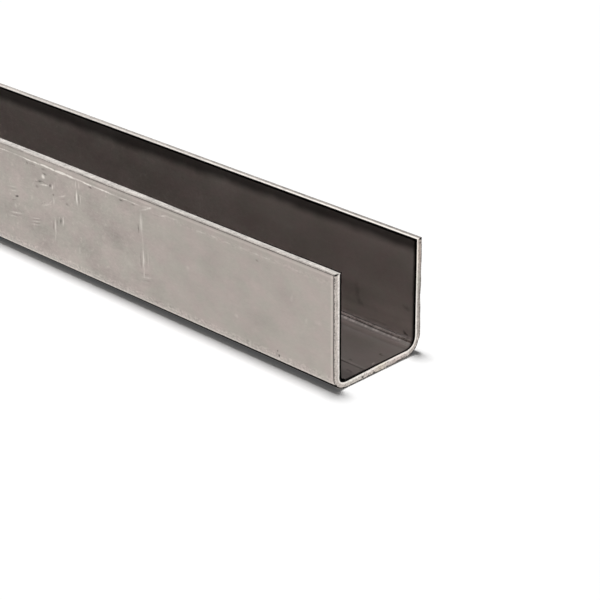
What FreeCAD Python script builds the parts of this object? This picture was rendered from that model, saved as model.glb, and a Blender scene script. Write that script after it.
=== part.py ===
import FreeCAD, Part
import math
import os

from FreeCAD import Vector

# A length of cold-formed steel channel, one strip folded into a square U.
# X runs along the stock, Y across it from the near flange to the far one, and Z up.
# The origin is the middle of the web's underside. All sizes are in millimetres.

# Outside sizes of the section
web_width = 30.0
flange_height = 30.0

# The strip, and how far its slit edges are rounded
strip_thickness = 2.0
lip_edge_radius = 0.25

# Inside radius of each bend: the two folds are made one after the other, and come out a little different
near_bend_radius = 2.0
far_bend_radius = 3.0

# The cut length, and the width of the burr that is filed off round each cut end
cut_length = 1000.0
end_edge_break = 0.12

STEP_FOLDER = "parts"
SAME_PLACE = 1e-6


def towards(start, end):
    """The unit vector from one point to another."""
    way = end - start
    return way.normalize()


def rounded_outline(corners):
    """A closed wire through corners, each an (y, z, radius), with every corner rounded by its own tangent arc."""
    points = [Vector(0, y, z) for y, z, radius in corners]
    arcs = []
    for index, (y, z, radius) in enumerate(corners):
        corner = points[index]
        back = towards(corner, points[index - 1])
        on = towards(corner, points[(index + 1) % len(points)])
        half_angle = back.getAngle(on) / 2
        tangent = radius / math.tan(half_angle)
        centre = corner + towards(Vector(), back + on) * (radius / math.sin(half_angle))
        middle = centre + towards(centre, corner) * radius
        arcs.append((corner + back * tangent, middle, corner + on * tangent))
    edges = []
    for index, (start, middle, end) in enumerate(arcs):
        edges.append(Part.LineSegment(arcs[index - 1][2], start).toShape())
        edges.append(Part.Arc(start, middle, end).toShape())
    return Part.Wire(edges)


def channel_section():
    """The folded strip in outline: outside of the U first, then its inside, back to the near lip."""
    outside = web_width / 2
    inside = outside - strip_thickness
    web_top = strip_thickness
    lip = flange_height
    return rounded_outline(
        [
            (-outside, lip, lip_edge_radius),
            (-outside, 0, near_bend_radius + strip_thickness),
            (outside, 0, far_bend_radius + strip_thickness),
            (outside, lip, lip_edge_radius),
            (inside, lip, lip_edge_radius),
            (inside, web_top, far_bend_radius),
            (-inside, web_top, near_bend_radius),
            (-inside, lip, lip_edge_radius),
        ]
    )


def round_an_end(edge):
    """Whether an edge lies in the plane of either cut end."""
    return all(abs(abs(vertex.X) - cut_length / 2) < SAME_PLACE for vertex in edge.Vertexes)


def channel():
    """The section run along the whole cut length, with its end edges dulled."""
    face = Part.Face(channel_section())
    face.translate(Vector(-cut_length / 2, 0, 0))
    bar = face.extrude(Vector(cut_length, 0, 0))
    end_edges = [edge for edge in bar.Edges if round_an_end(edge)]
    return bar.makeChamfer(end_edge_break, end_edges)


def write_step(name, shape):
    """Checks that a piece is one closed solid, then writes it."""
    if not shape.isValid() or len(shape.Solids) != 1:
        raise ValueError(f"{name} is not one valid solid")
    shape.exportStep(os.path.join(STEP_FOLDER, f"{name}.step"))
    print(f"{name}: {shape.Volume / 1000:.1f} cm3, {shape.BoundBox}")


os.makedirs(STEP_FOLDER, exist_ok=True)
write_step("channel", channel())
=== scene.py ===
import math

import bpy
import numpy as np
from bpy.props import FloatProperty, FloatVectorProperty, PointerProperty
from mathutils import Matrix, Vector


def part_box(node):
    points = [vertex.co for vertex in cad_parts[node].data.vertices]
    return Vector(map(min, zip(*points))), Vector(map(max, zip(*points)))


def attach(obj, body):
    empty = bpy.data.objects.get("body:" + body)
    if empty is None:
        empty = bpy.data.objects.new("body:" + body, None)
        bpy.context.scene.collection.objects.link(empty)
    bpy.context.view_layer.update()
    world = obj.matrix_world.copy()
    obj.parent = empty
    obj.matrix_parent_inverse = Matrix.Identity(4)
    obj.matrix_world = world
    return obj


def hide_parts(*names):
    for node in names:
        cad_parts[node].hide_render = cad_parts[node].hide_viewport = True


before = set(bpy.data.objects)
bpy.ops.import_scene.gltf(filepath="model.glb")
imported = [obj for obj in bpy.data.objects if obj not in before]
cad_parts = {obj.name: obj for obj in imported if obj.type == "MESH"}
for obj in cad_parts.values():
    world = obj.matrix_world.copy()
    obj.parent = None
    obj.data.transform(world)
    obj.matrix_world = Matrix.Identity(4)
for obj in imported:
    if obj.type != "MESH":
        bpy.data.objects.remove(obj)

bl_info = {
    "name": "Steel Channel",
    "version": (1, 0, 0),
    "blender": (4, 5, 0),
    "location": "3D View > Sidebar > Channel",
    "description": "Dresses a length of cold-formed steel channel and sets it on a plain stage",
    "category": "Object",
}

NODE = "channel"
BODY = "root"
STRIP_MAP = "strip"
MM = 0.001
WHITE = (1, 1, 1, 1)

# How far the slitting burr reaches from its edge, in millimetres
BURR_REACH = 0.65

# The knocks, in millimetres: height above the underside, reach along the edge, and depth
KNOCKS = ((14.6, 2.2, 0.22), (3.4, 0.9, 0.25), (29.2, 0.9, 0.15), (22.0, 3.0, 0.1))

# The outside of the channel, in millimetres, from the frame
LOW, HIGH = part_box(NODE)
LENGTH = (HIGH.x - LOW.x) / MM
WIDTH = (HIGH.y - LOW.y) / MM
HEIGHT = (HIGH.z - LOW.z) / MM


def length_property(name, description, millimetres):
    """A setting for a length."""
    return FloatProperty(name=name, description=description, default=millimetres * MM, unit="LENGTH")


def angle_property(name, description, degrees):
    """A setting for an angle."""
    return FloatProperty(name=name, description=description, default=math.radians(degrees), unit="ROTATION")


def share_property(name, description, share):
    """A setting between 0 and 1."""
    return FloatProperty(name=name, description=description, default=share, min=0, max=1, subtype="FACTOR")


def level_property(name, description, default):
    """A setting for a strength of light."""
    return FloatProperty(name=name, description=description, default=default, min=0)


def colour_property(name, description, default):
    """A setting for a colour."""
    return FloatVectorProperty(
        name=name, description=description, default=default, subtype="COLOR", size=3, min=0, max=1
    )


class ChannelSizes(bpy.types.PropertyGroup):
    """The folded strip. Its outside width, height and length come from the frame."""

    thickness: length_property("Strip thickness", "Wall of the channel", 2.0)
    near_bend: length_property("Near bend", "Inside radius of the near bend", 2.0)
    far_bend: length_property("Far bend", "Inside radius of the far bend", 3.0)
    crease: length_property("Crease", "How far the middle of a bend is pressed in", 0.22)
    groove: length_property("Groove", "Depth of the lines that folding left inside", 0.03)
    lip_round: length_property("Lip rounding", "Radius along the slit edges", 0.16)
    end_round: length_property("End rounding", "Depth of the dulled edge round a cut end", 0.12)
    lip_wear: length_property("Lip wear", "Most that a slit edge dips below its true line", 0.05)
    slit_burr: length_property("Slitting burr", "How far the near lip leans inward at its edge", 0.525)
    cut_burr: length_property("Cutting burr", "How far the near flange leans inward at its ends", 0.675)
    end_wear: length_property("End wear", "Most that a cut end falls short of its true plane", 0.14)


class ChannelFinish(bpy.types.PropertyGroup):
    """Colours and roughness of the steel."""

    mill_colour: colour_property("Mill surface", "Rolled faces outside", (0.428, 0.383, 0.349))
    inside_colour: colour_property("Inside", "Rolled faces inside", (0.407, 0.374, 0.359))
    # Colour that the scratches and the painted highlight in the bends are blended towards
    scratch_and_highlight_colour: colour_property("Rubbed steel", "Scratches on the rolled faces", (0.80, 0.75, 0.69))
    # Black of the painted shade along the cut edges and under the bends
    painted_shade_colour: colour_property("Painted shade", "Dirt in the narrow gaps along the edges", (0.004, 0.004, 0.004))
    torn_colour: colour_property("Torn steel", "Rough part of the cut faces", (0.56, 0.505, 0.465))
    bright_colour: colour_property("Bright steel", "Burnished part of the cuts", (0.84, 0.79, 0.74))
    mill_roughness: share_property("Mill roughness", "Roughness of the rolled faces", 0.34)
    cut_roughness: share_property("Cut roughness", "Roughness of the cut faces", 0.42)


class StageSettings(bpy.types.PropertyGroup):
    """Floor, light and camera."""

    floor_size: length_property("Floor size", "Side of the square floor", 8000.0)
    sky_level: level_property("Sky level", "Light of the surroundings on matt surfaces", 0.09)
    lamp_level: level_property("Lamp level", "Strength of the overhead light", 3.3)
    lamp_spread: angle_property("Lamp spread", "How wide the light looks from the floor", 11.5)
    lamp_way: FloatVectorProperty(
        name="Lamp direction", description="Which way the light shines", default=(0.12, -0.043, -1), size=3
    )
    azimuth: angle_property("Azimuth", "Camera's turn round the stock", 44.754)
    elevation: angle_property("Elevation", "Camera's angle above the floor", 25.245)
    roll: angle_property("Roll", "Camera's tilt", -0.386)
    distance: length_property("Distance", "From the camera to the aim point", 459.77)
    lens: FloatProperty(
        name="Lens", description="Focal length in millimetres on a 36 mm sensor", default=117.01
    )
    aim: FloatVectorProperty(
        name="Aim",
        description="Point in the middle of the picture, from the middle of the front cut end's underside",
        default=(-0.018084, -0.007638, 0.0155),
        size=3,
        subtype="TRANSLATION",
    )


class Fold:
    """Carries a point of the flat strip to its place in the folded channel, all in millimetres.

    Back runs from the front cut end along the stock.
    Across runs from the near lip over the web to the far lip, along the middle of the wall.
    Depth runs from the outside face to the inside face.
    """

    def __init__(self, sizes):
        self.thickness = sizes.thickness / MM
        self.near_bend = sizes.near_bend / MM
        self.far_bend = sizes.far_bend / MM
        quarter = math.pi / 2
        runs = [
            HEIGHT - self.thickness - self.near_bend,
            (self.near_bend + self.thickness / 2) * quarter,
            WIDTH - 2 * self.thickness - self.near_bend - self.far_bend,
            (self.far_bend + self.thickness / 2) * quarter,
            HEIGHT - self.thickness - self.far_bend,
        ]
        self.stops = [0.0, *np.cumsum(runs)]
        self.width = self.stops[-1]

    def on_web(self, y):
        """Across, for a place on the web at y from its middle."""
        return self.stops[2] + y + WIDTH / 2 - self.thickness - self.near_bend

    def in_far_bend(self, turn):
        """Across, for a place in the far bend, by how far it has turned up from the web, in degrees."""
        return self.stops[3] + (self.stops[4] - self.stops[3]) * turn / 90

    def on_far_flange(self, z):
        """Across, for a place on the far flange at a height above the underside."""
        return self.width - HEIGHT + z

    def place(self, strip):
        """Points in the frame, in metres."""
        back, across, depth = strip.T
        s1, s2, s3, s4 = self.stops[1:5]
        near_centre = self.near_bend + self.thickness
        far_centre = self.far_bend + self.thickness
        near_turn = (across - s1) / (s2 - s1) * math.pi / 2
        far_turn = (across - s3) / (s4 - s3) * math.pi / 2
        near_reach = near_centre - depth
        far_reach = far_centre - depth
        runs = [across <= s1, across <= s2, across <= s3, across <= s4]
        from_near_side = np.select(
            runs,
            [
                depth,
                near_centre - near_reach * np.cos(near_turn),
                near_centre + across - s2,
                WIDTH - far_centre + far_reach * np.sin(far_turn),
            ],
            WIDTH - depth,
        )
        from_underside = np.select(
            runs,
            [
                HEIGHT - across,
                near_centre - near_reach * np.sin(near_turn),
                depth,
                far_centre - far_reach * np.cos(far_turn),
            ],
            far_centre + across - s4,
        )
        x = HIGH.x - back * MM
        return np.stack([x, LOW.y + from_near_side * MM, LOW.z + from_underside * MM], axis=1)


def groove_lines(fold):
    """The lines that folding left on the inside: where across, half width and share of the full depth."""
    return [
        (fold.on_web(-4.3), 0.26, 1.0),
        (fold.in_far_bend(50), 0.16, 0.9),
        (fold.in_far_bend(64), 0.16, 0.7),
    ]


def bends(fold):
    """Where each bend starts and ends across the strip."""
    return [(fold.stops[1], fold.stops[2]), (fold.stops[3], fold.stops[4])]


def edge_rows(radius):
    """Distances from an edge of the rows that round it and of one that keeps the flat beside it flat."""
    return np.array([0.0, radius * (1 - math.tan(math.pi / 8)), radius, radius * 1.7])


def spaced(start, end, step):
    """Rows from start to end, both kept, no further apart than step."""
    return np.linspace(start, end, max(2, math.ceil((end - start) / step) + 1))


def merged(rows):
    """Lists of rows as one list in order, with each row once."""
    return np.unique(np.round(np.concatenate(rows), 6))


def filled_in(fine, coarse):
    """The fine rows, and those coarse rows that don't come close to one of them."""
    clear = 0.3 * np.min(np.diff(np.sort(coarse)))
    kept = [row for row in coarse if np.min(np.abs(fine - row)) > clear]
    return merged([fine, kept])


def across_rows(fold, sizes):
    """Rows of the mesh across the strip: fine at the lips, in the bends and at the grooves."""
    flat_step = 1.0
    bend_rows = 19
    crease_rows, crease_reach = 9, 0.5
    groove_rows = 5
    burr_rows = [0.45, BURR_REACH]
    edge = edge_rows(sizes.lip_round / MM)
    fine = [edge, fold.width - edge, burr_rows]
    flat = spaced(edge[-1], fold.width - edge[-1], flat_step)
    turned = []
    for start, end in bends(fold):
        fine.append([start, end])
        fine.append((start + end) / 2 + np.linspace(-crease_reach, crease_reach, crease_rows))
        flat = flat[(flat < start) | (flat > end)]
        turned.append(np.linspace(start, end, bend_rows))
    for line, half_width, _ in groove_lines(fold):
        fine.append(line + np.linspace(-half_width, half_width, groove_rows))
    return filled_in(filled_in(merged(fine), flat), np.concatenate(turned))


def depth_rows(sizes):
    """Rows through the wall."""
    step = 0.2
    edge = edge_rows(sizes.lip_round / MM)
    wall = sizes.thickness / MM
    return merged([edge, spaced(edge[-1], wall - edge[-1], step), wall - edge])


def back_rows(sizes):
    """Rows along the stock: close at the cut ends, wider in the front part, widest behind it."""
    end_reach, end_step = 4, 0.5
    front_reach, front_step = 166, 1.5
    back_step = 8
    edge = np.concatenate([edge_rows(sizes.end_round / MM), np.arange(end_step, end_reach, end_step)])
    front = np.arange(end_reach, front_reach, front_step)
    rest = np.arange(front_reach, LENGTH - end_reach, back_step)
    return merged([edge, front, rest, LENGTH - edge])


def rounded(points, size, radii):
    """Pulls the edges and corners of a box of points in to a rounding."""
    radii = np.array(radii)
    core = np.clip(points, radii, size - radii)
    away = (points - core) / radii
    away /= np.linalg.norm(away, axis=1)[:, None]
    return core + away * radii


def wander(place, spacing, seed):
    """A smooth random number between -1 and 1 for each place, which changes over about the spacing."""
    heights = np.random.default_rng(seed).uniform(-1, 1, 2048)
    step = np.abs(place) / spacing
    low = np.floor(step).astype(int)
    part = step - low
    part = part * part * (3 - 2 * part)
    return heights[low] * (1 - part) + heights[low + 1] * part


def share_of(place, spacing, seed):
    """The same, between 0 and 1."""
    return 0.5 + 0.5 * wander(place, spacing, seed)


def fade(distance, reach):
    """1 where the distance is 0, falling smoothly to 0 at the reach."""
    part = np.clip(1 - np.abs(distance) / reach, 0, 1)
    return part * part * (3 - 2 * part)


def innermost(depth, wall, start):
    """0 up to that share of the wall, counted from the outside, and from there rising to 1 at the inside."""
    return np.clip((depth - start * wall) / ((1 - start) * wall), 0, 1)


def worn(strip, fold, sizes):
    """Moves the points of the strip inward to the form that slitting, folding and cutting left."""
    true_back, true_across, true_depth = strip.T
    back, across, depth = strip.T.copy()
    wall = fold.thickness
    inner = fade(wall - depth, wall)

    # A bend pressed over a sharp nose is tighter in its middle than at its sides
    nose = 0.09
    for start, end in bends(fold):
        beside = (across - (start + end) / 2) / ((end - start) / 2)
        pressed = np.clip(1 - np.hypot(beside, nose), 0, 1) ** 2
        evenness = 1 + 0.25 * wander(back, 3.5, 21)
        depth -= sizes.crease / MM * pressed * evenness * inner

    # Lines of the folding rolls
    for number, (line, half_width, share) in enumerate(groove_lines(fold)):
        strength = share * np.clip(0.55 + 0.8 * wander(back, 4.0, 31 + number), 0, 1.2)
        depth -= sizes.groove / MM * fade(across - line, half_width) * strength * inner

    # The lips dip a little here and there
    dip_reach = 3.0
    for seed, from_lip, way in ((41, true_across, 1), (42, fold.width - true_across, -1)):
        dip = 0.65 * share_of(back, 30, seed) + 0.35 * share_of(back, 4, seed + 10)
        across += way * sizes.lip_wear / MM * dip * fade(from_lip, dip_reach)

    # The slitting burr on the near lip leans inward, and so does the cutting burr of the near flange
    evenness = 1 + 0.0952 * wander(back, 25, 51)
    leaning = innermost(true_depth, wall, 0.7) * fade(true_across, BURR_REACH)
    depth += sizes.slit_burr / MM * evenness * leaning
    on_flange = np.clip(fold.stops[2] - across, 0, 1) * np.clip(true_across / BURR_REACH, 0, 1)
    leaning = innermost(true_depth, wall, 0.85) * fade(np.minimum(true_back, LENGTH - true_back), 0.5)
    depth += sizes.cut_burr / MM * on_flange * leaning

    # The cut ends are a little uneven, and their torn part lies lower than the burnished strip by the inside
    end_reach = 2.5
    torn = 1 - fade(wall - depth, 0.7)
    for seed, cut, way in ((61, 0, 1), (62, LENGTH, -1)):
        uneven = 0.5 * share_of(across, 3.2, seed) + 0.5 * share_of(across + 7 * depth, 0.8, seed + 10)
        lower = uneven * (0.35 + 0.65 * torn)
        back += way * sizes.end_wear / MM * lower * fade(true_back - cut, end_reach)

    # Knocks on the outer edge of the front end's far flange
    for z, reach, dent in KNOCKS:
        bell = fade(across - fold.on_far_flange(z), reach) * fade(true_back, 1.4)
        depth += dent * bell * fade(depth, 0.8)
    return np.stack([back, across, depth], axis=1)


def box_surface(along, across, depth):
    """Points and quads of the surface of a box that is ruled by three lists of rows."""
    count_a, count_s, count_d = len(along), len(across), len(depth)
    ring = [(i, 0) for i in range(count_s)]
    ring += [(count_s - 1, j) for j in range(1, count_d - 1)]
    ring += [(i, count_d - 1) for i in range(count_s - 1, -1, -1)]
    ring += [(0, j) for j in range(count_d - 2, 0, -1)]
    size = len(ring)
    points = np.empty((count_a * size, 3))
    points[:, 0] = np.repeat(along, size)
    points[:, 1:] = np.tile(np.array([(across[i], depth[j]) for i, j in ring]), (count_a, 1))
    here = np.arange(size)
    beside = (here + 1) % size
    quads = []
    for a in range(count_a - 1):
        row, following = a * size, (a + 1) * size
        quads.append(np.stack([row + here, following + here, following + beside, row + beside], axis=1))
    for station, flip in ((0, False), (count_a - 1, True)):
        middle = [(along[station], s, d) for s in across[1:-1] for d in depth[1:-1]]
        numbers = np.empty((count_s, count_d), int)
        numbers[tuple(np.transpose(ring))] = station * size + here
        numbers[1:-1, 1:-1] = len(points) + np.arange(len(middle)).reshape(count_s - 2, count_d - 2)
        points = np.vstack([points, middle])
        corners = [numbers[:-1, :-1], numbers[1:, :-1], numbers[1:, 1:], numbers[:-1, 1:]]
        cap = np.stack(corners, axis=-1).reshape(-1, 4)
        quads.append(cap[:, ::-1] if flip else cap)
    return points, np.concatenate(quads)


def bar_mesh(sizes):
    """The channel as a mesh: a flat strip with rounded edges, worn, then folded."""
    fold = Fold(sizes)
    points, quads = box_surface(back_rows(sizes), across_rows(fold, sizes), depth_rows(sizes))
    size = np.array([LENGTH, fold.width, fold.thickness])
    strip = rounded(points, size, (sizes.end_round / MM, sizes.lip_round / MM, sizes.lip_round / MM))
    mesh = bpy.data.meshes.new("channel_bar")
    mesh.from_pydata(fold.place(worn(strip, fold, sizes)).tolist(), [], quads.tolist())
    attribute = mesh.attributes.new(STRIP_MAP, "FLOAT_VECTOR", "POINT")
    attribute.data.foreach_set("vector", points.astype(np.float32).ravel())
    mesh.polygons.foreach_set("use_smooth", np.ones(len(quads), bool))
    mesh.update()
    mesh.validate()
    return mesh


class Value:
    """A number in a node tree that can be used in a Python expression."""

    def __init__(self, tree, socket):
        self.tree = tree
        self.socket = socket

    def maths(self, operation, *numbers):
        """The result of a Math node on those numbers."""
        node = self.tree.node("ShaderNodeMath", {"operation": operation}, dict(enumerate(numbers)))
        return self.tree.value(node)

    def __add__(self, other):
        return self.maths("ADD", self, other)

    __radd__ = __add__

    def __sub__(self, other):
        return self.maths("SUBTRACT", self, other)

    def __rsub__(self, other):
        return self.maths("SUBTRACT", other, self)

    def __mul__(self, other):
        return self.maths("MULTIPLY", self, other)

    __rmul__ = __mul__

    def __abs__(self):
        return self.maths("ABSOLUTE", self)

    def least(self, other):
        """The lower of the two numbers."""
        return self.maths("MINIMUM", self, other)

    def most(self, other):
        """The higher of the two numbers."""
        return self.maths("MAXIMUM", self, other)

    def ramp(self, low, high):
        """0 at low and 1 at high, with a soft start and end. Low may be above high."""
        node = self.tree.node(
            "ShaderNodeMapRange",
            {"interpolation_type": "SMOOTHSTEP"},
            {"Value": self, "From Min": low, "From Max": high},
        )
        return self.tree.value(node)

    def line(self, middle, half_width):
        """1 at the middle, falling to 0 at the half width to each side."""
        return abs(self - middle).ramp(half_width, half_width * 0.3)


class Tree:
    """Adds nodes to the emptied node tree of a material or a world."""

    def __init__(self, owner):
        owner.use_nodes = True
        self.tree = owner.node_tree
        self.tree.nodes.clear()

    def node(self, kind, settings=None, inputs=None):
        """A node of that type, with its settings made first and then its sockets set or linked."""
        node = self.tree.nodes.new(kind)
        for name, value in (settings or {}).items():
            setattr(node, name, value)
        for name, value in (inputs or {}).items():
            socket = node.inputs[name]
            if isinstance(value, Value):
                self.tree.links.new(value.socket, socket)
            elif isinstance(value, bpy.types.NodeSocket):
                self.tree.links.new(value, socket)
            else:
                socket.default_value = value
        return node

    def value(self, node, output=0):
        """An output of that node, for use in an expression."""
        return Value(self, node.outputs[output])

    def rays(self):
        """Three numbers: 1 on a ray from the camera, 1 on a reflected one, and 1 on one through glass."""
        path = self.node("ShaderNodeLightPath")
        return [self.value(path, f"Is {kind} Ray") for kind in ("Camera", "Glossy", "Transmission")]

    def vector(self, operation, first, second):
        """The result of a Vector Math node on two vectors or colours."""
        return self.node("ShaderNodeVectorMath", {"operation": operation}, {0: first, 1: second}).outputs[0]

    def noise(self, vector, scales, detail, roughness):
        """Noise about 0, with its own scale for each direction of the vector."""
        scaled = self.vector("MULTIPLY", vector, scales)
        node = self.node(
            "ShaderNodeTexNoise",
            {"noise_dimensions": "3D"},
            {"Vector": scaled, "Scale": 1.0, "Detail": detail, "Roughness": roughness},
        )
        return self.value(node, "Fac") - 0.5

    def spot(self, vector, centre, reach, turn=0.0):
        """1 at the centre of a turned ellipse on the strip, falling to 0 at its rim."""
        local = self.node(
            "ShaderNodeMapping",
            {"vector_type": "TEXTURE"},
            {"Vector": vector, "Location": centre, "Rotation": (0, 0, math.radians(turn)), "Scale": reach},
        )
        node = self.node(
            "ShaderNodeTexGradient", {"gradient_type": "SPHERICAL"}, {"Vector": local.outputs[0]}
        )
        return self.value(node, "Fac")

    def shaken(self, vector, amount, scale):
        """The vector moved about a little by noise, so that what is drawn on it comes out uneven."""
        noise = self.node("ShaderNodeTexNoise", None, {"Vector": vector, "Scale": scale, "Detail": 2.0})
        centred = self.vector("SUBTRACT", noise.outputs["Color"], (0.5, 0.5, 0.5))
        return self.vector("ADD", vector, self.vector("MULTIPLY", centred, (amount, amount, 0)))

    def blend(self, factor, first, second):
        """A colour from first, where the factor is 0, to second, where it is 1."""
        node = self.node("ShaderNodeMix", {"data_type": "RGBA"}, {0: factor, 6: first, 7: second})
        return node.outputs[2]

    def tinged(self, colour, factor, tint):
        """A colour that is multiplied by the tint where the factor is 1."""
        return self.vector("MULTIPLY", colour, self.blend(factor, WHITE, (*tint, 1)))

    def shaded(self, colour, factor):
        """A colour made lighter or darker by a number."""
        node = self.node("ShaderNodeVectorMath", {"operation": "SCALE"}, {0: colour, "Scale": factor})
        return node.outputs[0]

    def mixed(self, factor, first, second):
        """A surface from first, where the factor is 0, to second, where it is 1."""
        return self.node("ShaderNodeMixShader", None, {0: factor, 1: first.outputs[0], 2: second.outputs[0]})


# Marks on the outside of the near flange: distance back from the front end, distance down from the lip,
# half length, half width, turn from the length of the stock in degrees, and change of tone.
SCRATCHES = (
    # A long one below the lip, with brighter dashes in it
    (96, 1.72, 33, 0.34, -0.5, 0.22),
    (120.5, 1.6, 3, 0.28, 0, 0.2),
    (110.4, 1.65, 2.6, 0.3, -1, 0.36),
    (107.3, 1.6, 1.5, 0.28, 0, 0.26),
    (103.2, 1.6, 2.2, 0.34, -0.5, 0.8),
    (100.4, 1.62, 1.3, 0.34, -0.5, 0.75),
    (97, 1.65, 2.4, 0.4, 0, 1),
    (93.2, 1.75, 1.9, 0.32, -1, 0.75),
    (86.6, 1.85, 2.4, 0.3, -1, 0.48),
    (80, 1.95, 4.6, 0.26, -0.5, 0.32),
    (72, 1.95, 2.6, 0.22, 0, 0.2),
    (68.2, 2, 2.2, 0.22, 0, 0.18),
    # Dark bits below it
    (110.8, 2.6, 0.6, 0.5, 0, -0.22),
    (108.5, 2.5, 1.8, 0.3, 5, -0.16),
    (104, 2.7, 1.3, 0.45, 0, -0.18),
    (99.2, 2.6, 1, 0.3, 0, -0.14),
    (93, 2.35, 3, 0.28, 0, -0.14),
    (85.2, 2.5, 0.9, 0.38, 0, -0.34),
    (73.3, 2.55, 1.1, 0.32, 0, -0.3),
    (68.7, 2.45, 1.1, 0.28, 0, -0.2),
    # Upright ones
    (90.8, 6.9, 2.6, 0.35, 90, 0.5),
    (89.95, 7, 2, 0.3, 90, -0.22),
    (91.6, 6.9, 1.6, 0.3, 90, -0.12),
    (89.4, 7, 1.8, 0.3, 90, 0.12),
    (91, 3.3, 1.3, 0.25, 90, 0.18),
    (89.7, 3.3, 1.2, 0.25, 90, 0.16),
    (90.9, 21.6, 1.6, 0.5, 88, 0.08),
    (65.9, 6.6, 3.6, 0.75, 90, 0.15),
    (65.6, 11.2, 2.6, 0.35, 90, 0.06),
    (65.6, 16.3, 3.8, 0.42, 90, 0.21),
    (66.7, 16.5, 2.6, 0.3, 90, -0.12),
    (64.4, 16.5, 2.6, 0.3, 90, -0.12),
    (67.1, 8.4, 1.6, 0.35, 90, -0.2),
    (66.5, 17.8, 1.8, 0.28, 90, -0.14),
    (63.8, 15.8, 3, 0.22, 90, 0.08),
    (63.3, 15.8, 3, 0.22, 90, -0.08),
    (65, 20.2, 2.4, 0.28, 8, -0.1),
    (64.4, 21.8, 2, 0.28, 8, -0.07),
    (65.6, 20.4, 1, 0.3, 90, 0.16),
    (64.5, 21, 2.6, 0.32, 10, 0.12),
    # Short ones in front of the long one
    (64, 2.4, 2.8, 0.32, 20, 0.16),
    (63.4, 1.75, 2.2, 0.36, 8, 0.12),
    (62.6, 1.7, 1.8, 0.25, 25, 0.14),
    (57.5, 2.3, 2.2, 0.28, 14, 0.16),
    (54, 1.9, 2.5, 0.25, 5, 0.12),
    (60, 2.9, 3, 0.2, 3, -0.08),
    (44.3, 2.5, 2.2, 0.3, 0, 0.12),
    (39.5, 2.4, 1.8, 0.3, 0, 0.1),
    (35, 2.5, 1.6, 0.32, 0, 0.1),
    (30, 2.45, 1.4, 0.32, 0, 0.08),
    (25, 2.5, 1.8, 0.34, 0, 0.1),
    (21.5, 2.55, 1.4, 0.34, 0, 0.1),
    (12, 2.5, 2.4, 0.36, 0, 0.06),
    (24.9, 4.1, 0.7, 0.35, 0, -0.16),
    # Rubbing behind the upright ones
    (104.3, 4.8, 0.9, 0.8, 0, 0.42),
    (103.9, 7.1, 2.4, 0.34, 8, 0.28),
    (103.6, 3.9, 1.1, 0.38, -10, -0.24),
    (105.8, 6.5, 1.1, 0.32, 5, -0.26),
    (107.2, 8.3, 1, 0.6, 0, -0.16),
    (108.7, 8, 1.4, 0.35, 60, 0.09),
    (101.8, 11.2, 1.3, 0.28, 40, 0.12),
    (104.8, 12.4, 1.7, 0.28, 30, -0.16),
    (104.6, 6.3, 2.4, 0.25, -8, -0.14),
    (107, 6.9, 2.6, 0.28, 12, -0.12),
    (101.7, 6.6, 0.8, 0.5, 60, -0.4),
    (100.7, 6.7, 1.1, 0.35, 75, 0.26),
    (99.9, 6, 1.2, 0.3, 80, 0.14),
    (100.5, 8.8, 0.6, 0.45, 30, -0.3),
    (100.5, 10.6, 1.5, 0.4, 85, 0.18),
    (96.8, 8.2, 1.9, 0.3, 18, 0.2),
    (96.9, 9, 1.7, 0.25, 18, -0.1),
    (103.4, 12.5, 2.4, 0.3, 25, 0.14),
    (94.9, 9.9, 1, 0.55, 0, -0.22),
    # Lower down
    (116.2, 13.6, 0.95, 0.42, 15, -0.62),
    (117.8, 11.3, 2.2, 0.24, 10, 0.13),
    (117.8, 11.8, 2.2, 0.24, 10, -0.11),
    (117.6, 12.4, 2.2, 0.24, 10, 0.13),
    (117.6, 15, 1.6, 0.28, 15, -0.14),
    (117, 16.4, 0.9, 0.8, 0, 0.1),
    (116.8, 18.5, 3.4, 0.32, 8, 0.19),
    (116.8, 19.2, 3, 0.28, 8, -0.1),
    (118.6, 19.9, 2.6, 0.28, 8, 0.1),
    (108.4, 17.7, 2.4, 0.26, 10, 0.12),
    (108.4, 18.1, 2.4, 0.26, 10, -0.11),
    (108.4, 18.6, 2.4, 0.26, 10, 0.12),
    (108.6, 19.1, 2.4, 0.26, 10, -0.1),
    (108.8, 19.6, 2.4, 0.26, 10, 0.1),
    (100.4, 17.8, 3, 0.35, 88, 0.26),
    (99.6, 16.2, 1.2, 0.3, 88, -0.2),
    (101.3, 17.5, 2.4, 0.3, 88, -0.14),
    (100.6, 20.9, 1.5, 0.3, 88, 0.12),
    (98, 15.4, 1.2, 0.5, 80, -0.3),
    (97, 15.2, 1.6, 0.35, 85, 0.24),
    # In the smoother front part
    (49.2, 13.6, 0.9, 0.8, 0, 0.06),
    (32.2, 20.8, 1, 0.7, 0, 0.08),
    (13.5, 10, 1.2, 0.5, 80, 0.07),
    (8.8, 14.2, 1, 0.6, 80, 0.06),
    (5, 13.6, 1.6, 0.7, 0, 0.04),
    (18.3, 25.4, 0.5, 0.3, 60, -0.4),
    (17.9, 26.4, 0.45, 0.35, 60, -0.6),
    (18.2, 27, 0.5, 0.3, 0, 0.3),
)

# Large faint shades on the same face
SHADES = (
    (40, 9.5, 8, 5, 80, -0.035),
    (16, 10, 4.5, 3.5, 0, -0.03),
    (23, 19.5, 7, 3.5, 0, -0.03),
    (76, 13, 8, 5, 60, -0.03),
    (74.8, 14.3, 3.2, 2.6, 10, -0.04),
    (70.6, 19.4, 1.8, 1.4, 0, 0.03),
)

# Scuffs on the inside of the far flange, with the height above the underside in the second place
FAR_FLANGE_SCUFFS = (
    (18.9, 10.6, 3.4, 1, 78, -0.1),
    (17.8, 8, 1.4, 1, 30, -0.1),
    (2.9, 11.3, 1.6, 0.8, 10, -0.12),
    (3, 4.5, 1.4, 0.7, 30, -0.42),
    (4.2, 3.3, 1.1, 0.35, 10, 0.05),
    (1.6, 3.2, 1, 0.4, 30, 0.05),
)

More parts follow.
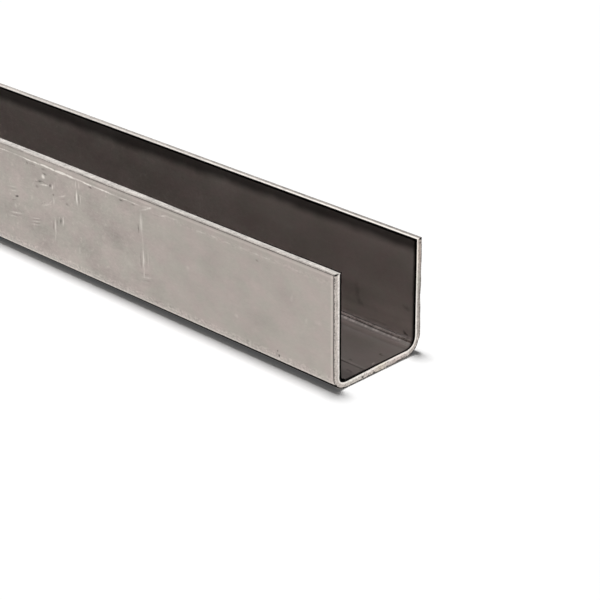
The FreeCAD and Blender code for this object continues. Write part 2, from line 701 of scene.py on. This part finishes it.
# Scuffs on the inside of the web, with the place across from the web's middle in the second place
WEB_SCUFFS = (
    (1, -0.4, 0.3, 0.8, 0, 0.3),
    (2.3, -4.9, 0.9, 0.3, 0, 0.045),
    (5.8, -4.9, 0.9, 0.3, 0, 0.035),
    (10, -3.5, 8.5, 0.35, 0, 0.015),
    (4.5, -3.6, 2, 0.3, 0, 0.03),
    (2.6, -6.9, 1.6, 0.5, 30, -0.25),
    (6, -6.2, 2.6, 0.3, 0, 0.02),
    (3, 4.4, 1, 0.5, 20, -0.3),
    (3.5, 5.1, 0.9, 0.3, 20, 0.025),
    (6.3, -2.7, 0.9, 0.6, 0, -0.2),
    (13, 10.4, 2.6, 1.1, 0, 0.015),
    (8, 4.7, 1.8, 0.9, 0, 0.012),
)

# Pits and bright bits in the front cut end: distance across, depth through the wall, reach of each,
# and change of tone. Across is taken from the near lip, from the web's middle and from the far lip.
NEAR_LIP_PITS = ((0.2, 0.75, 0.32, 0.95, -1), (0.9, 1.5, 0.5, 0.45, 0.25))
WEB_PITS = (
    (-5.1, 0.67, 0.5, 0.4, -0.8),
    (-1.3, 0.4, 0.55, 0.34, -0.8),
    (1.8, 0.6, 1.1, 0.5, 0.14),
    (3.4, 0.3, 0.9, 0.26, -0.6),
    (5.6, 0.55, 0.8, 0.22, -0.45),
    (7.4, 0.4, 1, 0.28, -0.6),
    (9.3, 0.7, 0.8, 0.24, -0.4),
)
FAR_LIP_PITS = (
    (0.2, 0.5, 0.3, 0.6, -1.2),
    (1.2, 0.7, 0.5, 0.3, -0.35),
    (15.2, 0.22, 2.6, 0.24, 0.28),
    (15.2, 0.55, 2.6, 0.22, -0.35),
    (26, 0.9, 0.5, 0.4, 0.4),
    (26.9, 0.5, 0.5, 0.35, -0.5),
)

# Faint stains along the front cut end: distance across from the near lip, reach, and what each colour is
# multiplied by
END_STAINS = (
    (33.5, 4.5, (0.98, 1.015, 1)),
    (42.7, 3, (1.02, 1.01, 0.93)),
    (48.5, 4, (1.03, 0.98, 0.98)),
    (79, 6.5, (1.04, 0.975, 0.93)),
    (72, 3.5, (0.96, 1, 0.96)),
)


def mark_sum(tree, strip, marks):
    """All of those marks added up, where each is a centre, a reach, a turn and a change of tone.

    A mark has its change of tone half way out from its centre, and twice as much at the centre.
    """
    total = 0.0
    for centre, reach, turn, change in marks:
        total += tree.spot(strip, centre, reach, turn) * (2 * change)
    return total


def laid_out(marks, across, depth):
    """Marks of a rolled face, with the second number of each turned into the place across the strip."""
    return [
        ((back, across(place), depth), (long, wide, 1.0), turn, change)
        for back, place, long, wide, turn, change in marks
    ]


def parted(marks):
    """The marks that are lighter than what they lie on, and those that are darker."""
    return [mark for mark in marks if mark[3] > 0], [mark for mark in marks if mark[3] < 0]


def end_marks(fold):
    """The pits and bright bits of the front cut end."""
    reach_back = 0.25
    found = []
    for group, place in (
        (NEAR_LIP_PITS, lambda across: across),
        (WEB_PITS, fold.on_web),
        (FAR_LIP_PITS, lambda across: fold.width - across),
    ):
        for across, depth, reach_across, reach_depth, change in group:
            reach = (reach_back, reach_across, reach_depth)
            found.append(((0.0, place(across), depth), reach, 0.0, change))
    return found


class Skin:
    """Where a point of the surface lies on the strip, and the noises that its tones are made from."""

    def __init__(self, tree, fold):
        self.tree = tree
        self.fold = fold
        strip = tree.node("ShaderNodeAttribute", {"attribute_name": STRIP_MAP}).outputs["Vector"]
        split = tree.node("ShaderNodeSeparateXYZ", None, {0: strip})
        self.strip = strip
        self.back, self.across, self.depth = (tree.value(split, name) for name in "XYZ")
        self.from_end = self.back.least(LENGTH - self.back)
        self.from_lip = self.across.least(fold.width - self.across)

        # Each of these is 1 there and 0 elsewhere
        self.end_face = self.from_end.ramp(0.07, 0.03)
        self.on_lip = 1 - self.end_face
        self.lip_face = self.from_lip.ramp(0.08, 0.03)
        self.inside = self.depth.ramp(fold.thickness * 0.8, fold.thickness)
        self.outside = self.depth.ramp(fold.thickness * 0.2, 0.0)
        self.on_web = abs(self.across - fold.width / 2).ramp(16, 10)
        self.further = self.back.ramp(10, 130)
        self.near_lip = self.across.ramp(1.0, 0.1)
        self.far_side = self.across.ramp(fold.stops[3], fold.stops[4])

        self.blotch = tree.noise(strip, (0.09, 0.13, 0.3), 2.0, 0.55)
        self.cloud = tree.noise(strip, (0.45, 0.6, 1.0), 3.0, 0.6)
        self.grain = tree.noise(strip, (0.3, 5.0, 1.0), 2.0, 0.6)
        self.fleck = tree.noise(strip, (2.6, 2.6, 2.6), 2.0, 0.7)
        self.speck = tree.noise(tree.shaken(strip, 1.2, 0.5), (1.0, 1.7, 1.0), 3.0, 0.65)
        self.tear = tree.noise(strip, (0.12, 2.0, 1.2), 3.0, 0.65)
        self.drawn = tree.noise(strip, (0.5, 0.35, 2.6), 3.0, 0.6)
        self.dash = tree.noise(strip, (0.42, 0.05, 0.1), 1.0, 0.5).ramp(-0.14, 0.08)
        self.chip = tree.noise(strip, (1.15, 0.05, 0.1), 2.0, 0.6).ramp(-0.08, 0.1)


def mottled(skin):
    """Tone of the rolled faces before marks and lines, more uneven further back."""
    tree, strip, back = skin.tree, skin.strip, skin.back
    scuffed = 0.5 + 0.5 * back.ramp(50, 72)
    uneven = 0.5 * skin.blotch * (1 - 0.6 * skin.inside) + 0.2 * skin.cloud + 0.32 * skin.speck - 0.01
    tone = 1 + scuffed * uneven + 0.1 * skin.grain
    nick = tree.noise(strip, (0.42, 0.3, 0.2), 1.0, 0.5).line(0, 0.018)
    nick *= skin.cloud.ramp(0, 0.08) * back.ramp(60, 85)
    streak = tree.noise(strip, (0.018, 2.4, 0.3), 1.0, 0.5).ramp(0.16, 0.24)
    streak *= back.ramp(60, 75)
    return tone + 0.14 * nick + 0.08 * streak + 0.05 * skin.from_end.ramp(24, 2)


def marked(skin):
    """How much lighter and how much darker the rolled faces are at their marks."""
    tree, fold, wall = skin.tree, skin.fold, skin.fold.thickness
    thin_light, thin_dark = parted(laid_out(SCRATCHES, lambda down: down, 0.0))
    inner = laid_out(FAR_FLANGE_SCUFFS, fold.on_far_flange, wall) + laid_out(WEB_SCUFFS, fold.on_web, wall)
    wide_light, wide_dark = parted(laid_out(SHADES, lambda down: down, 0.0) + inner)
    thin = tree.shaken(skin.strip, 0.5, 0.35)
    wide = tree.shaken(skin.strip, 1.6, 0.9)
    light = mark_sum(tree, thin, thin_light) * (1.1 + 0.7 * skin.chip) + mark_sum(tree, wide, wide_light)
    dark = mark_sum(tree, thin, thin_dark) * (0.8 + 0.4 * skin.chip)
    dark += mark_sum(tree, wide, wide_dark) * (1.25 + 0.9 * skin.cloud)
    return light, dark


def edged(skin):
    """What the tone of the outside is multiplied by along its edges, with painted shade and highlights, and
    where black painted shade lies under the bends.
    """
    tree, outside = skin.tree, skin.outside

    # A painted dark line of shade along the rounding of each lip, broken further back, and a lighter one
    # below it
    patch = tree.noise(skin.strip, (0.25, 0.02, 0.1), 2.0, 0.5)
    lined = (skin.back + 40 * patch).ramp(96, 80)
    tone = 1 - 0.93 * outside * skin.from_lip.line(0.05, 0.16) * lined
    tone *= 1 + (0.09 + 0.07 * lined) * outside * skin.from_lip.line(0.75, 0.4)

    # A crazed strip a little below the lip, in the smoother front part
    grit = tree.noise(skin.strip, (1.1, 1.9, 1.0), 2.0, 0.65)
    crazed = outside * skin.from_lip.line(2.5, 1.0) * skin.back.ramp(66, 56)
    tone *= 1 + crazed * (0.03 + 0.55 * grit)

    # By the cut ends, a bright strip and a dark edge
    tone *= 1 + 0.2 * outside * skin.from_end.line(0.6, 0.5)
    dark_edge = outside * skin.from_end.ramp(0.22, 0.1) * (0.85 + 0.9 * skin.cloud)
    tone *= 1 - 0.6 * dark_edge

    # The foot of each flange is crazed and painted a little lighter, a painted highlight runs along each
    # bend, and black painted shade lies under the bend from a third of the way round it
    under = 0.0
    for (start, end), way in zip(bends(skin.fold), (1, -1)):
        run = end - start
        into = (skin.across - start) if way == 1 else (end - skin.across)
        tone *= 1 + outside * into.line(0.9, 1.6) * (0.1 + 1.3 * grit)
        drift = 0.0028 * skin.back.least(120)
        brink = into - drift + 0.3 * skin.fleck
        tone *= 1 + 0.24 * outside * brink.line(1.3, 0.35)
        painted_shade_share = brink.ramp(0.333 * run, 0.366 * run) * into.ramp(0.84 * run, 0.68 * run)
        under += outside * painted_shade_share
    return tone * (1 - 0.97 * under), under


def shaded_inside(skin):
    """What the tone of the inside is multiplied by on the flanges and the web, as painted shade and painted
    light.
    """
    fold, inside = skin.fold, skin.inside
    from_lip, from_end, across, on_web = skin.from_lip, skin.from_end, skin.across, skin.on_web

    # Flanges: a painted shade strip below the lip, black at its edge, and painted lighter low down, more so
    # towards the cut ends
    reach = from_lip + 1.5 * skin.blotch - 0.7 * skin.back.ramp(60, 120)
    tone = 1 - 0.75 * inside * reach.ramp(4.6, 1.8)
    tone *= 1 - 0.96 * inside * from_lip.ramp(0.7, 0.4)
    low_down = from_lip.ramp(14, 20) * from_end.ramp(8, 20)
    belly = from_lip.line(20.5, 4.5)
    lighter = 0.55 + 0.19 * from_end.ramp(130, 40) - 0.3 * low_down - 0.17 * belly
    tone *= 1 + inside * from_lip.ramp(24.5, 21) * lighter

    # A painted shade strip by the cut ends, wide on the flanges and narrow on the web
    wide_strip = from_end.ramp(1.25, 0.5) * (1 - on_web)
    tone *= (1 - 0.8 * inside * wide_strip) * (1 - 0.98 * inside * from_end.ramp(0.6, 0.38))

    # Painted shade on the web, darker towards the near bend
    towards = across.ramp(fold.on_web(7), fold.on_web(-9))
    towards *= across.ramp(fold.stops[1], fold.stops[2])
    beside_bend = across.ramp(fold.on_web(-6.5), fold.on_web(-8.5))
    tone *= (1 - 0.38 * inside * towards) * (1 - 0.34 * inside * on_web)
    tone *= 1 - 0.35 * inside * on_web * beside_bend

    # Painted shade in the lines that folding left, with a painted highlight beside the one on the web
    painted_shade_share = inside * (0.4 + 0.45 * from_end.ramp(3, 9))
    for line, half_width, share in groove_lines(fold):
        tone *= 1 - share * painted_shade_share * across.line(line + 0.06, half_width * 1.3)
    highlight_and_scratches = inside * across.line(fold.on_web(-3.5), 0.5) * (0.4 + 0.6 * skin.dash)
    return tone * (1 + 0.28 * highlight_and_scratches)


def bent(skin):
    """What the tone of the inside is multiplied by in the bends as painted shade and light, how far a
    painted highlight brightens them there, and where their colour is made warmer and cooler."""
    inside = skin.inside
    tone, bright, warm, cool = 1.0, 0.0, 0.0, 0.0
    for (start, end), way in zip(bends(skin.fold), (-1, 1)):
        rise_at_end = 0.42 * skin.back.ramp(8, 0.5)
        # Up is how far a point lies from the crease towards the flange, and below 0 towards the web
        up = (skin.across - (start + end) / 2) * way - rise_at_end
        half = (end - start) / 2
        # Painted shade and light that shape the reflection in the bend: shade on the web side and beside the
        # crest, a darker crest, a lighter flange side, and dark and light lines
        web_side = up.ramp(-half - 0.8, -half + 0.5) * up.ramp(-0.2, -0.4)
        beside_crest = up.ramp(-1.5, -0.8) * up.ramp(-0.2, -0.4)
        rim = up.line(-0.3, 0.4)
        crest = up.line(0.06, 0.5)
        dark_line = up.line(0.55, 0.4)
        low_flange = up.ramp(half - 0.1, 1.8) + up.ramp(half + 3, half + 0.8)
        shade = (1 - 0.28 * web_side) * (1 - 0.38 * beside_crest) * (1 - crest * (0.5 - 0.15 * skin.chip))
        shade *= 1 + rim * (0.3 * skin.chip - 0.1)
        shade *= 1 + 0.34 * up.ramp(0.2, 0.5) * low_flange
        shade *= 1 - dark_line * (0.43 - 0.3 * skin.chip)
        shade *= 1 + up.line(1.1, 0.45) * (0.24 * skin.dash - 0.1)
        tone *= 1 + inside * (shade - 1)
        # A painted highlight along the bend, broken into dashes
        bright += inside * up.line(1.05, 0.3) * (0.003 + 0.042 * skin.dash)
        warm += inside * up.ramp(-half - 0.4, -half + 1) * up.ramp(0.4, 0.1)
        cool += inside * up.ramp(0.3, 0.8) * up.ramp(2.4, 1.2)
    return tone, bright, warm, cool


def cut_tone(skin):
    """Tone of the cut faces before their lines, and where they are burnished."""
    tree, fold, depth, on_web = skin.tree, skin.fold, skin.depth, skin.on_web
    near_lip, far_side, further = skin.near_lip, skin.far_side, skin.further
    end_face, on_lip = skin.end_face, skin.on_lip

    # The burnished strip lies by the inside, and is wider on the lips and on the near part of the web
    near_part = on_web * skin.across.ramp(fold.on_web(2), fold.on_web(-3))
    wider = (0.7 * near_lip + 0.35 * far_side) * on_lip + 0.3 * near_part * end_face
    burnish = (depth + 0.6 * skin.cloud + wider).ramp(1.25, 1.5)
    bright = 0.97 + 0.7 * skin.fleck + 1.2 * skin.tear + 0.13 * on_web + 0.36 * far_side
    bright += 1.2 * on_lip * skin.speck + 0.12 * far_side * end_face
    dimmer = 0.17 + 0.035 * near_lip + far_side * (0.22 * further - 0.06)
    bright *= 1 - on_lip * (dimmer - 0.09 * skin.back.ramp(25, 3))

    # The torn part is rougher on the web
    torn = 1 + 0.08 * on_web + skin.fleck * (0.9 + 2.0 * on_web) + skin.tear * (1.4 + 0.8 * on_web)
    torn += 1.6 * skin.drawn + skin.speck * on_web
    torn *= 1 - 0.3 * far_side * end_face * depth.ramp(1.3, 0.9)
    torn *= 1 - on_lip * (0.08 * near_lip + far_side * (0.36 - 0.28 * further))
    tone = torn + (bright - torn) * burnish + mark_sum(tree, skin.strip, end_marks(fold))
    return tone.most(0.03).least(1.2), burnish


def cut_lines(skin):
    """What the tone of the cut faces is multiplied by along their edges as painted shade, and where black
    painted shade lies there.
    """
    fold, across, depth, wall = skin.fold, skin.across, skin.depth, skin.fold.thickness
    near_lip, far_side, further = skin.near_lip, skin.far_side, skin.further
    end_face, on_lip = skin.end_face, skin.on_lip

    # Painted shade lines along the outer edges, further in towards the far bend and black under the near
    # part of the web
    lifted = across.ramp(fold.on_web(2), fold.on_web(9))
    lifted *= across.ramp(fold.in_far_bend(75), fold.in_far_bend(45))
    below = across.ramp(fold.stops[1] + 1, fold.stops[2])
    below *= across.ramp(fold.on_web(3), fold.on_web(0))
    outer_line = (depth - 0.19 * lifted + 0.08 * below + 0.9 * skin.fleck).ramp(0.4, 0.14)
    near_corner = below * across.ramp(fold.stops[2] + 1, fold.stops[2] - 1)
    sharp = below * end_face * (depth - 0.14 * near_corner + 0.3 * skin.fleck).ramp(0.24, 0.17)

    # Painted shade lines along the inner edges, and behind the near lip's burr
    nearer = skin.on_web * across.ramp(fold.on_web(8), fold.on_web(-16))
    near_side = across.ramp(fold.stops[2], fold.stops[1])
    spread = 0.4 * nearer + far_side * (0.1 + on_lip * (0.04 - 0.12 * further)) + 0.145 * near_side
    inner_line = (depth + spread).ramp(wall - 0.13, wall - 0.05)
    back = skin.back.least(110)
    narrower = 0.0018 * back + 0.006 * (back - 50).most(0)
    lip_line = near_lip * (depth - narrower).ramp(wall - 0.375, wall - 0.275)

    # The painted shade lines darken the cut faces along their edges
    tone = (1 - 0.8 * outer_line * end_face.most(0.6 + 0.35 * far_side)) * (1 - 0.9 * sharp)
    tone *= (1 - 0.99 * inner_line * end_face.most(1 - near_lip)) * (1 - 0.99 * lip_line * on_lip)
    painted_black_shade = skin.lip_face * on_lip * (lip_line + inner_line * far_side) + end_face * (inner_line + sharp)
    return tone, painted_black_shade


def sheared(skin, finish):
    """Colour of the cut faces, and where black painted shade lies along their edges."""
    tree, fold = skin.tree, skin.fold
    face_tone, burnish = cut_tone(skin)
    line_tone, painted_black_shade = cut_lines(skin)
    colour = tree.blend(burnish, (*finish.torn_colour, 1), (*finish.bright_colour, 1))
    for place, reach, stain in END_STAINS:
        here = tree.spot(skin.strip, (0.0, place, fold.thickness / 2), (0.3, reach, 3.0))
        colour = tree.tinged(colour, here, stain)
    return tree.shaded(colour, face_tone * line_tone), painted_black_shade


def rolled(skin, finish):
    """Colour of the rolled faces, how far their marks stand out, and where black painted shade lies under
    the bends.
    """
    tree = skin.tree
    light, dark = marked(skin)
    edge_tone, under = edged(skin)
    bend_tone, bend_highlight, warm, cool = bent(skin)
    tone = (mottled(skin) + dark) * edge_tone * shaded_inside(skin) * bend_tone
    tint = tree.noise(skin.strip, (0.16, 0.22, 0.3), 2.0, 0.6)
    warmth = tree.blend(tint.ramp(-0.2, 0.2), (1.02, 0.99, 1.005, 1), (0.98, 1.01, 0.995, 1))
    colour = tree.blend(skin.inside, (*finish.mill_colour, 1), (*finish.inside_colour, 1))
    colour = tree.vector("MULTIPLY", colour, warmth)
    colour = tree.tinged(tree.tinged(colour, warm, (1.03, 0.975, 0.96)), cool, (0.985, 0.985, 1.03))
    colour = tree.shaded(colour, tone.most(0.005))
    # Scratches and the painted highlight in the bends are blended towards bare steel
    highlight_and_scratches = (light * 1.05 + bend_highlight).least(1)
    return tree.blend(highlight_and_scratches, colour, (*finish.scratch_and_highlight_colour, 1)), light + dark, under


def steel_material(sizes, finish):
    """Bare mill steel, brighter where the strip was slit and cut, with black painted shade along its edges
    and under its bends.
    """
    material = bpy.data.materials.new("mill_steel")
    tree = Tree(material)
    skin = Skin(tree, Fold(sizes))
    cut_face = skin.end_face.most(skin.lip_face)
    face_colour, marks, painted_shade_under_bends = rolled(skin, finish)
    cut_colour, painted_shade_along_cuts = sheared(skin, finish)
    steel = tree.blend(cut_face, face_colour, cut_colour)

    in_bend = 0.0
    for start, end in bends(skin.fold):
        in_bend += skin.across.line((start + end) / 2, 1.2) * skin.inside
    rough = finish.mill_roughness + 0.12 * skin.blotch - 0.2 * in_bend
    rough += (finish.cut_roughness + 0.2 * skin.fleck - rough) * cut_face
    height = skin.grain * 0.003 + marks * 0.006 + (0.01 + 0.02 * skin.fleck) * cut_face
    bump = tree.node("ShaderNodeBump", None, {"Strength": 1.0, "Distance": MM, "Height": height})
    shader = tree.node(
        "ShaderNodeBsdfPrincipled",
        None,
        {"Base Color": steel, "Metallic": 1.0, "Roughness": rough, "Normal": bump.outputs[0]},
    )
    # A black matt surface for the painted shade along the cut edges and under the bends
    painted_black_shade = tree.node(
        "ShaderNodeBsdfPrincipled",
        None,
        {"Base Color": (*finish.painted_shade_colour, 1), "Roughness": 1.0, "Specular IOR Level": 0.0},
    )
    surface = tree.mixed((painted_shade_under_bends + painted_shade_along_cuts).least(1), shader, painted_black_shade)
    tree.node("ShaderNodeOutputMaterial", None, {"Surface": surface.outputs[0]})
    return material


class CHANNEL_OT_bar(bpy.types.Operator):
    """Make the channel and put it in the frame's place"""

    bl_idname = "channel.bar"
    bl_label = "Channel Bar"

    def execute(self, context):
        scene = context.scene
        bar = bpy.data.objects.new("channel_bar", bar_mesh(scene.channel_sizes))
        scene.collection.objects.link(bar)
        bar.data.materials.append(steel_material(scene.channel_sizes, scene.channel_finish))
        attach(bar, BODY)
        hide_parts(NODE)
        return {"FINISHED"}


def make_floor(scene, stage):
    """A plain white floor that keeps the channel's shadow."""
    own_glow = 0.06
    dark_edge, white_edge = -2.4 * MM, -1.6 * MM
    half = stage.floor_size / 2
    mesh = bpy.data.meshes.new("floor")
    corners = [(x, y, LOW.z) for x, y in ((-half, -half), (half, -half), (half, half), (-half, half))]
    mesh.from_pydata(corners, [], [(0, 1, 2, 3)])
    floor = bpy.data.objects.new("floor", mesh)
    scene.collection.objects.link(floor)
    material = bpy.data.materials.new("floor_white")
    tree = Tree(material)
    camera, glossy, clear = tree.rays()
    matt = tree.node("ShaderNodeBsdfDiffuse", None, {"Color": (0.9, 0.9, 0.9, 1)})
    glow = tree.node("ShaderNodeEmission", None, {"Color": WHITE, "Strength": 1.0})
    seen = tree.mixed(camera * own_glow, matt, glow)

    # As the metal reflects it, the floor glows white beside the channel and is painted dark below it, a
    # painted shadow
    point = tree.node("ShaderNodeNewGeometry").outputs["Position"]
    place = tree.node("ShaderNodeSeparateXYZ", None, {0: point})
    beside = abs(tree.value(place, "Y")) - HIGH.y
    beyond = abs(tree.value(place, "X")) - HIGH.x
    open_floor = beside.most(beyond).ramp(dark_edge, white_edge)
    tone = tree.blend(open_floor, (0, 0, 0, 1), WHITE)
    reflected = tree.node("ShaderNodeEmission", None, {"Color": tone, "Strength": 1.0})
    surface = tree.mixed(glossy.most(clear), seen, reflected)
    tree.node("ShaderNodeOutputMaterial", None, {"Surface": surface.outputs[0]})
    mesh.materials.append(material)


def make_world(scene, stage):
    """White surroundings as the camera and the metal see them, and dimmer ones as light on matt surfaces."""
    world = bpy.data.worlds.new("surroundings")
    tree = Tree(world)
    camera, glossy, clear = tree.rays()
    dim = tree.node("ShaderNodeBackground", None, {"Color": WHITE, "Strength": stage.sky_level})
    full = tree.node("ShaderNodeBackground", None, {"Color": WHITE, "Strength": 1.0})
    sky = tree.mixed(camera.most(glossy).most(clear), dim, full)
    tree.node("ShaderNodeOutputWorld", None, {"Surface": sky.outputs[0]})
    scene.world = world


def make_lamp(scene, stage):
    """One soft light nearly overhead, a little behind the channel as the camera sees it."""
    light = bpy.data.lights.new("overhead", "SUN")
    light.angle = stage.lamp_spread
    light.energy = stage.lamp_level
    lamp = bpy.data.objects.new("overhead", light)
    lamp.rotation_euler = Vector(stage.lamp_way).to_track_quat("-Z", "Y").to_euler()
    lamp.visible_glossy = False
    scene.collection.objects.link(lamp)


def make_camera(scene, stage):
    """The camera, placed by its angles about the front cut end."""
    turn, rise = stage.azimuth, stage.elevation
    back = Vector((math.sin(turn) * math.cos(rise), -math.cos(turn) * math.cos(rise), math.sin(rise)))
    level = Vector((math.cos(turn), math.sin(turn), 0))
    over = back.cross(level)
    right = level * math.cos(stage.roll) + over * math.sin(stage.roll)
    up = over * math.cos(stage.roll) - level * math.sin(stage.roll)
    aim = Vector((HIGH.x, (LOW.y + HIGH.y) / 2, LOW.z)) + Vector(stage.aim)
    data = bpy.data.cameras.new("camera")
    data.sensor_width = 36
    data.lens = stage.lens
    data.clip_start = 0.01
    camera = bpy.data.objects.new("camera", data)
    place = Matrix((right, up, back)).transposed().to_4x4()
    place.translation = aim + back * stage.distance
    camera.matrix_world = place
    scene.collection.objects.link(camera)
    scene.camera = camera


class CHANNEL_OT_stage(bpy.types.Operator):
    """Set the floor, light and camera"""

    bl_idname = "channel.stage"
    bl_label = "Stage"

    def execute(self, context):
        scene = context.scene
        stage = scene.channel_stage
        make_floor(scene, stage)
        make_world(scene, stage)
        make_lamp(scene, stage)
        make_camera(scene, stage)
        scene.view_settings.view_transform = "Standard"
        return {"FINISHED"}


class CHANNEL_PT_panel(bpy.types.Panel):
    """The channel's operators and settings"""

    bl_idname = "CHANNEL_PT_panel"
    bl_label = "Steel Channel"
    bl_space_type = "VIEW_3D"
    bl_region_type = "UI"
    bl_category = "Channel"

    def draw(self, context):
        for operator in OPERATORS:
            self.layout.operator(operator.bl_idname)
        for name, group in GROUPS.items():
            box = self.layout.box()
            for prop in group.__annotations__:
                box.prop(getattr(context.scene, name), prop)


GROUPS = {
    "channel_sizes": ChannelSizes,
    "channel_finish": ChannelFinish,
    "channel_stage": StageSettings,
}
OPERATORS = (CHANNEL_OT_bar, CHANNEL_OT_stage)


def register():
    for name, group in GROUPS.items():
        bpy.utils.register_class(group)
        setattr(bpy.types.Scene, name, PointerProperty(type=group))
    for operator in OPERATORS:
        bpy.utils.register_class(operator)
    bpy.utils.register_class(CHANNEL_PT_panel)


def unregister():
    bpy.utils.unregister_class(CHANNEL_PT_panel)
    for operator in OPERATORS:
        bpy.utils.unregister_class(operator)
    for name, group in GROUPS.items():
        delattr(bpy.types.Scene, name)
        bpy.utils.unregister_class(group)


def main():
    """Builds the scene."""
    register()
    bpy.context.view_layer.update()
    bpy.ops.channel.bar()
    bpy.ops.channel.stage()


if __name__ == "__main__":
    main()
